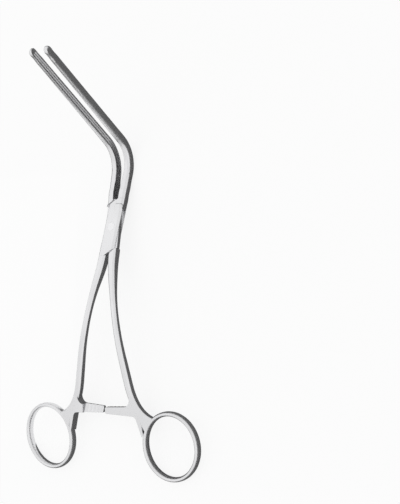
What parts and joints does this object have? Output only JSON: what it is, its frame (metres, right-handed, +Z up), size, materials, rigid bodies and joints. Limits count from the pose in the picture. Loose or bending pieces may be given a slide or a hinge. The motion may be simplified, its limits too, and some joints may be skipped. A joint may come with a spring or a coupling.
{
  "type": "vascular clamp",
  "caption": "Angled vascular clamp with long toothed jaws, a pinned box lock, ratchet bars and finger rings on slender bent shanks.",
  "frame": {"origin": "middle of the bounding box at its bottom, with the clamp lying slightly open on the backs of its rings and of its jaw bends", "axes": "+X across the clamp, +Y from the finger rings to the jaws, +Z up, the way the jaw tips point; the front of the box faces +Z, turned 10.6 degrees towards the jaws"},
  "size_m": [0.1238, 0.227, 0.0767],
  "materials": {
    "steel_box": "satin polished stainless steel",
    "steel_tenon": "satin polished stainless steel",
    "steel_pin": "ground flush with the cheeks, satin polished"
  },
  "bodies": {
    "box_body": {"box_half": "steel_box", "joint_pin": "steel_pin"},
    "tenon_body": {"tenon_half": "steel_tenon"}
  },
  "joints": [
    {"name": "box_lock_hinge", "type": "hinge", "parent": "box_body", "child": "tenon_body", "pos_m": [0, 0.0248, 0.00878], "axis": [0, 0.1839, 0.9829], "range_deg": [-6.9, 28]}
  ]
}
